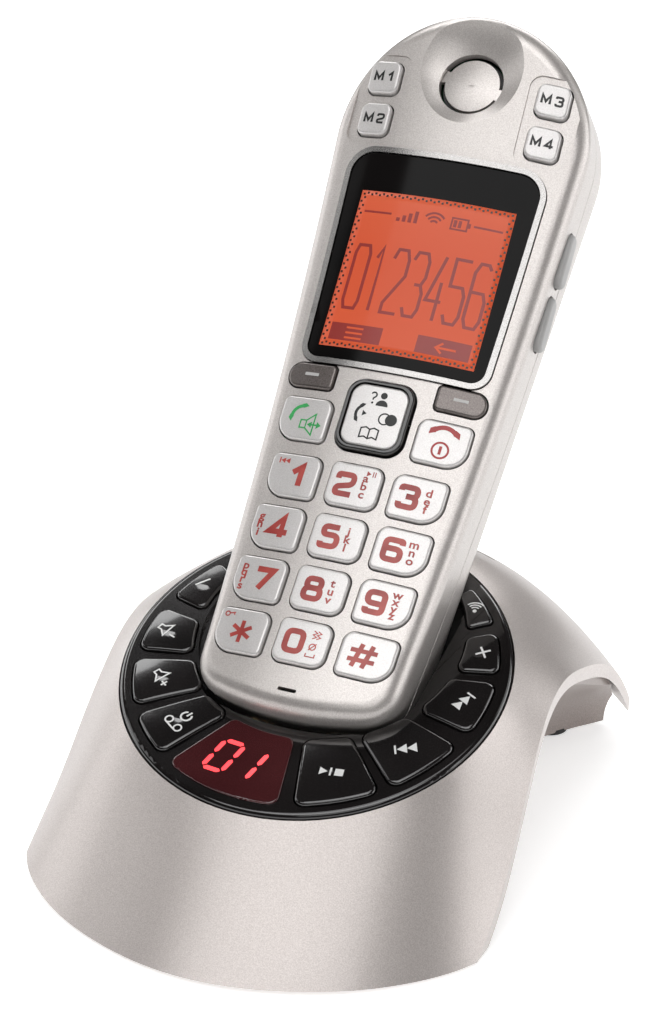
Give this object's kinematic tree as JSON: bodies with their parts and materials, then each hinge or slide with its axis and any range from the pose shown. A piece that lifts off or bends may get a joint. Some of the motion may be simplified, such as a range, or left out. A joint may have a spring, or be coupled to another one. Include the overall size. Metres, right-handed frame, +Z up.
{
  "type": "cordless telephone",
  "caption": "Cordless telephone: a leaning handset with large keys and a lit display, docked in a round-topped charging and answering base.",
  "frame": {"origin": "bottom centre of the bounding box of the base with its docked handset, on the table surface", "axes": "+Z up, -Y towards the user, X = 0 is the plane of symmetry"},
  "size_m": [0.1128, 0.1894, 0.1792],
  "materials": {
    "silver_paint": "metallic silver paint over moulded plastic, satin",
    "housing_grey": "moulded plastic painted warm grey silver, satin",
    "silver_key": "painted silver key caps, satin",
    "side_key_grey": "light grey moulded keys",
    "dark_metallic": "dark metallic paint, satin",
    "black_gloss": "polished black plastic",
    "black_plastic": "fine matt black plastic",
    "bright_trim": "bright silver plated trim",
    "display_glass": "polished black display window",
    "orange_display": "backlit orange liquid crystal panel",
    "red_window": "smoked red window",
    "red_display": "red lit digits",
    "contact_metal": "plated spring contacts",
    "circuit_green": "solder-masked laminate",
    "mat_rubber": "moulded silicone",
    "foot_rubber": "soft rubber",
    "steel": "zinc-plated screws",
    "battery_wrap": "shrink-wrapped rechargeable pack"
  },
  "bodies": {
    "base": {"base_top_shell": "silver_paint", "base_bottom_housing": "housing_grey", "button_ring": "black_gloss", "cradle_well": "black_plastic", "charging_contacts": "contact_metal", "base_display_window": "red_window", "base_display_module": "red_display", "base_circuit_board": "circuit_green", "base_speaker": "black_plastic", "base_feet": "foot_rubber", "base_screws": "steel", "line_jack": "black_plastic", "power_jack": "black_plastic"},
    "handset": {"handset_front_housing": "silver_paint", "handset_rear_housing": "silver_paint", "display_lens": "display_glass", "display_bezel": "bright_trim", "display_module": "orange_display", "earpiece_cover": "silver_paint", "earpiece_speaker": "black_plastic", "microphone": "black_plastic", "keypad_mat": "mat_rubber", "handset_circuit_board": "circuit_green", "battery_pack": "battery_wrap", "handset_charge_contacts": "contact_metal", "handset_screws": "steel"},
    "battery_door": {"battery_door": "silver_paint"},
    "key_star": {"key_star": "silver_key"},
    "key_0": {"key_0": "silver_key"},
    "key_hash": {"key_hash": "silver_key"},
    "key_1": {"key_1": "silver_key"},
    "key_2": {"key_2": "silver_key"},
    "key_3": {"key_3": "silver_key"},
    "key_4": {"key_4": "silver_key"},
    "key_5": {"key_5": "silver_key"},
    "key_6": {"key_6": "silver_key"},
    "key_7": {"key_7": "silver_key"},
    "key_8": {"key_8": "silver_key"},
    "key_9": {"key_9": "silver_key"},
    "key_call": {"key_call": "silver_key"},
    "key_end": {"key_end": "silver_key"},
    "soft_key_left": {"soft_key_left": "dark_metallic"},
    "soft_key_right": {"soft_key_right": "dark_metallic"},
    "memory_key_1": {"memory_key_1": "silver_key"},
    "memory_key_2": {"memory_key_2": "silver_key"},
    "memory_key_3": {"memory_key_3": "silver_key"},
    "memory_key_4": {"memory_key_4": "silver_key"},
    "side_key_up": {"side_key_up": "side_key_grey"},
    "side_key_down": {"side_key_down": "side_key_grey"},
    "key_play_stop": {"key_play_stop": "black_gloss"},
    "key_rewind": {"key_rewind": "black_gloss"},
    "key_forward": {"key_forward": "black_gloss"},
    "key_delete": {"key_delete": "black_gloss"},
    "key_page": {"key_page": "black_gloss"},
    "key_answer": {"key_answer": "black_gloss"},
    "key_volume_up": {"key_volume_up": "black_gloss"},
    "key_volume_down": {"key_volume_down": "black_gloss"},
    "key_greeting": {"key_greeting": "black_gloss"},
    "nav_rim": {"nav_rim": "black_gloss"},
    "nav_key": {"nav_key": "silver_key"}
  },
  "joints": [
    {"name": "handset_lift", "type": "slide", "parent": "base", "child": "handset", "axis": [0, 0.6557, 0.7551], "range_m": [0, 0.075]},
    {"name": "battery_door_slide", "type": "slide", "parent": "handset", "child": "battery_door", "axis": [0, -0.6557, -0.7551], "range_m": [0, 0.012]},
    {"name": "key_star_press", "type": "slide", "parent": "handset", "child": "key_star", "axis": [0, 0.7551, -0.6557], "range_m": [0, 0.0008], "stiffness_N_per_m": 400},
    {"name": "key_0_press", "type": "slide", "parent": "handset", "child": "key_0", "axis": [0, 0.7551, -0.6557], "range_m": [0, 0.0008], "stiffness_N_per_m": 400},
    {"name": "key_hash_press", "type": "slide", "parent": "handset", "child": "key_hash", "axis": [0, 0.7551, -0.6557], "range_m": [0, 0.0008], "stiffness_N_per_m": 400},
    {"name": "key_1_press", "type": "slide", "parent": "handset", "child": "key_1", "axis": [0, 0.7551, -0.6557], "range_m": [0, 0.0008], "stiffness_N_per_m": 400},
    {"name": "key_2_press", "type": "slide", "parent": "handset", "child": "key_2", "axis": [0, 0.7551, -0.6557], "range_m": [0, 0.0008], "stiffness_N_per_m": 400},
    {"name": "key_3_press", "type": "slide", "parent": "handset", "child": "key_3", "axis": [0, 0.7551, -0.6557], "range_m": [0, 0.0008], "stiffness_N_per_m": 400},
    {"name": "key_4_press", "type": "slide", "parent": "handset", "child": "key_4", "axis": [0, 0.7551, -0.6557], "range_m": [0, 0.0008], "stiffness_N_per_m": 400},
    {"name": "key_5_press", "type": "slide", "parent": "handset", "child": "key_5", "axis": [0, 0.7551, -0.6557], "range_m": [0, 0.0008], "stiffness_N_per_m": 400},
    {"name": "key_6_press", "type": "slide", "parent": "handset", "child": "key_6", "axis": [0, 0.7551, -0.6557], "range_m": [0, 0.0008], "stiffness_N_per_m": 400},
    {"name": "key_7_press", "type": "slide", "parent": "handset", "child": "key_7", "axis": [0, 0.7551, -0.6557], "range_m": [0, 0.0008], "stiffness_N_per_m": 400},
    {"name": "key_8_press", "type": "slide", "parent": "handset", "child": "key_8", "axis": [0, 0.7551, -0.6557], "range_m": [0, 0.0008], "stiffness_N_per_m": 400},
    {"name": "key_9_press", "type": "slide", "parent": "handset", "child": "key_9", "axis": [0, 0.7551, -0.6557], "range_m": [0, 0.0008], "stiffness_N_per_m": 400},
    {"name": "key_call_press", "type": "slide", "parent": "handset", "child": "key_call", "axis": [0, 0.7551, -0.6557], "range_m": [0, 0.0008], "stiffness_N_per_m": 400},
    {"name": "key_end_press", "type": "slide", "parent": "handset", "child": "key_end", "axis": [0, 0.7551, -0.6557], "range_m": [0, 0.0008], "stiffness_N_per_m": 400},
    {"name": "soft_key_left_press", "type": "slide", "parent": "handset", "child": "soft_key_left", "axis": [0, 0.7551, -0.6557], "range_m": [0, 0.0008], "stiffness_N_per_m": 400},
    {"name": "soft_key_right_press", "type": "slide", "parent": "handset", "child": "soft_key_right", "axis": [0, 0.7551, -0.6557], "range_m": [0, 0.0008], "stiffness_N_per_m": 400},
    {"name": "memory_key_1_press", "type": "slide", "parent": "handset", "child": "memory_key_1", "axis": [0, 0.7551, -0.6557], "range_m": [0, 0.0008], "stiffness_N_per_m": 400},
    {"name": "memory_key_2_press", "type": "slide", "parent": "handset", "child": "memory_key_2", "axis": [0, 0.7551, -0.6557], "range_m": [0, 0.0008], "stiffness_N_per_m": 400},
    {"name": "memory_key_3_press", "type": "slide", "parent": "handset", "child": "memory_key_3", "axis": [0, 0.7551, -0.6557], "range_m": [0, 0.0008], "stiffness_N_per_m": 400},
    {"name": "memory_key_4_press", "type": "slide", "parent": "handset", "child": "memory_key_4", "axis": [0, 0.7551, -0.6557], "range_m": [0, 0.0008], "stiffness_N_per_m": 400},
    {"name": "side_key_up_press", "type": "slide", "parent": "handset", "child": "side_key_up", "axis": [-1, 0, 0], "range_m": [0, 0.0008], "stiffness_N_per_m": 400},
    {"name": "side_key_down_press", "type": "slide", "parent": "handset", "child": "side_key_down", "axis": [-1, 0, 0], "range_m": [0, 0.0008], "stiffness_N_per_m": 400},
    {"name": "key_play_stop_press", "type": "slide", "parent": "base", "child": "key_play_stop", "axis": [0, 0.3728, -0.9279], "range_m": [0, 0.0008], "stiffness_N_per_m": 400},
    {"name": "key_rewind_press", "type": "slide", "parent": "base", "child": "key_rewind", "axis": [0, 0.3728, -0.9279], "range_m": [0, 0.0008], "stiffness_N_per_m": 400},
    {"name": "key_forward_press", "type": "slide", "parent": "base", "child": "key_forward", "axis": [0, 0.3728, -0.9279], "range_m": [0, 0.0008], "stiffness_N_per_m": 400},
    {"name": "key_delete_press", "type": "slide", "parent": "base", "child": "key_delete", "axis": [0, 0.3728, -0.9279], "range_m": [0, 0.0008], "stiffness_N_per_m": 400},
    {"name": "key_page_press", "type": "slide", "parent": "base", "child": "key_page", "axis": [0, 0.3728, -0.9279], "range_m": [0, 0.0008], "stiffness_N_per_m": 400},
    {"name": "key_answer_press", "type": "slide", "parent": "base", "child": "key_answer", "axis": [0, 0.3728, -0.9279], "range_m": [0, 0.0008], "stiffness_N_per_m": 400},
    {"name": "key_volume_up_press", "type": "slide", "parent": "base", "child": "key_volume_up", "axis": [0, 0.3728, -0.9279], "range_m": [0, 0.0008], "stiffness_N_per_m": 400},
    {"name": "key_volume_down_press", "type": "slide", "parent": "base", "child": "key_volume_down", "axis": [0, 0.3728, -0.9279], "range_m": [0, 0.0008], "stiffness_N_per_m": 400},
    {"name": "key_greeting_press", "type": "slide", "parent": "base", "child": "key_greeting", "axis": [0, 0.3728, -0.9279], "range_m": [0, 0.0008], "stiffness_N_per_m": 400},
    {"name": "nav_up_down", "type": "hinge", "parent": "handset", "child": "nav_rim", "pos_m": [0, 0.01039, 0.09579], "axis": [1, 0, 0], "range_deg": [-2, 2], "stiffness_Nm_per_rad": 0.3},
    {"name": "nav_left_right", "type": "hinge", "parent": "nav_rim", "child": "nav_key", "pos_m": [0, 0.01039, 0.09579], "axis": [0, 0.6557, 0.7551], "range_deg": [-1.5, 1.5], "stiffness_Nm_per_rad": 0.3}
  ]
}
